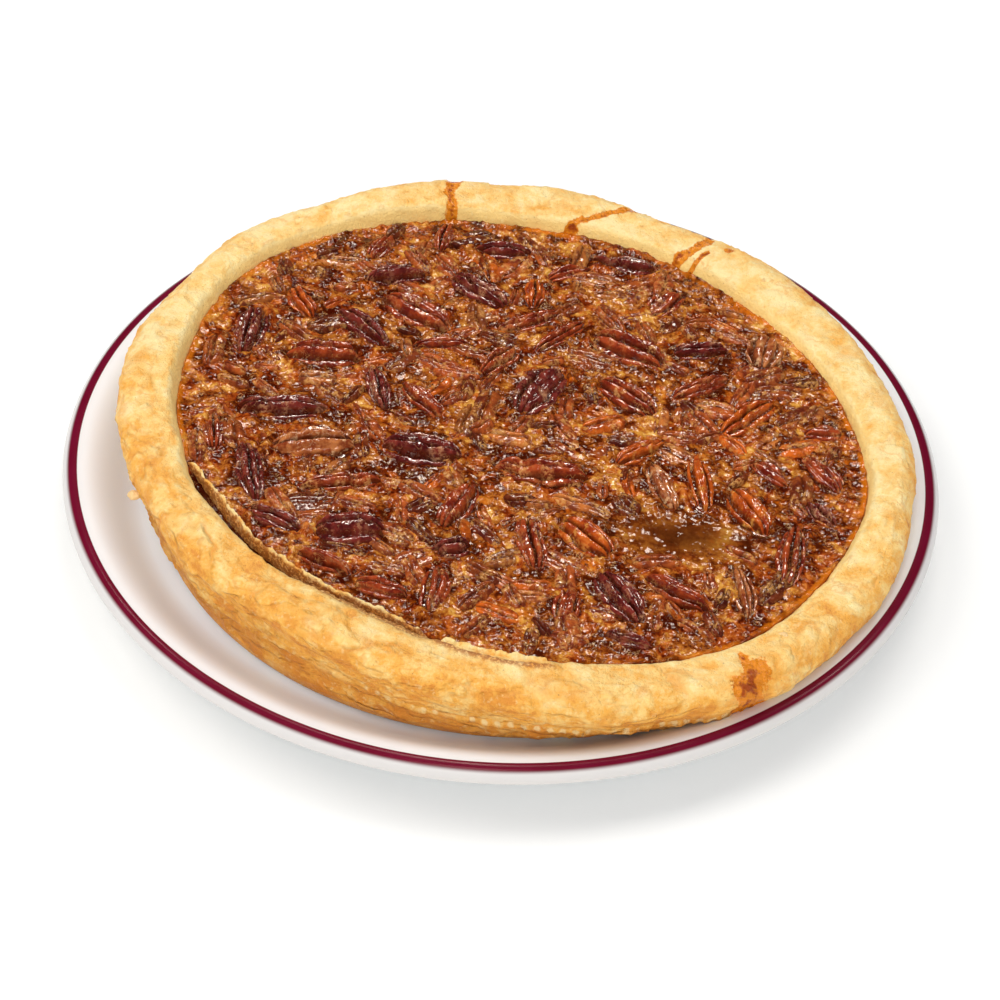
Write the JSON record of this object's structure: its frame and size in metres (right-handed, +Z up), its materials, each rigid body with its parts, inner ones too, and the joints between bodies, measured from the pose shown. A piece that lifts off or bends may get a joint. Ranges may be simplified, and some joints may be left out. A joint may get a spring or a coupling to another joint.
{
  "type": "pecan pie on a plate",
  "caption": "Round open pecan pie with a rolled pastry rim and a part-lifted inner flake, glossy nut filling, served on a shallow plate with a thin ring line.",
  "frame": {"origin": "under the middle of the plate, on the surface that its foot ring stands on", "axes": "+Z up; +X to the right and +Y away, seen from the side with the lifted pastry flake nearest"},
  "size_m": [0.27, 0.27, 0.0453],
  "materials": {
    "plate_glaze": "glossy warm white porcelain glaze with a thin burgundy line near the lip",
    "pastry": "pale golden baked shortcrust pastry, blistered and flaky, browned in patches",
    "syrup": "glossy brown baked syrup filling with fine froth and glints",
    "pecan_red": "red-brown pecan half under a syrup glaze",
    "pecan_dark": "dark purple-brown pecan half under a syrup glaze",
    "pecan_amber": "orange-amber pecan half soaked in syrup",
    "pecan_tan": "tan, frothy pecan half, less glossy than the others"
  },
  "bodies": {
    "root": {"plate": "plate_glaze", "crust": "pastry", "filling": "syrup", "pecan_01": "pecan_red", "pecan_02": "pecan_red", "pecan_03": "pecan_dark", "pecan_04": "pecan_dark", "pecan_05": "pecan_dark", "pecan_06": "pecan_red", "pecan_07": "pecan_dark", "pecan_08": "pecan_amber", "pecan_09": "pecan_dark", "pecan_10": "pecan_red", "pecan_11": "pecan_dark", "pecan_12": "pecan_red", "pecan_13": "pecan_red", "pecan_14": "pecan_red", "pecan_15": "pecan_red", "pecan_16": "pecan_red", "pecan_17": "pecan_red", "pecan_18": "pecan_dark", "pecan_19": "pecan_red", "pecan_20": "pecan_amber", "pecan_21": "pecan_red", "pecan_22": "pecan_tan", "pecan_23": "pecan_dark", "pecan_24": "pecan_red", "pecan_25": "pecan_red", "pecan_26": "pecan_dark", "pecan_27": "pecan_amber", "pecan_28": "pecan_red", "pecan_29": "pecan_dark", "pecan_30": "pecan_tan", "pecan_31": "pecan_dark", "pecan_32": "pecan_red", "pecan_33": "pecan_dark", "pecan_34": "pecan_dark", "pecan_35": "pecan_red", "pecan_36": "pecan_red", "pecan_37": "pecan_dark", "pecan_38": "pecan_red", "pecan_39": "pecan_red", "pecan_40": "pecan_dark", "pecan_41": "pecan_red", "pecan_42": "pecan_red", "pecan_43": "pecan_red", "pecan_44": "pecan_amber", "pecan_45": "pecan_amber", "pecan_46": "pecan_amber", "pecan_47": "pecan_tan", "pecan_48": "pecan_amber", "pecan_49": "pecan_red", "pecan_50": "pecan_red", "pecan_51": "pecan_dark", "pecan_52": "pecan_red", "pecan_53": "pecan_tan", "pecan_54": "pecan_red", "pecan_55": "pecan_dark", "pecan_56": "pecan_red", "pecan_57": "pecan_dark"}
  },
  "joints": []
}
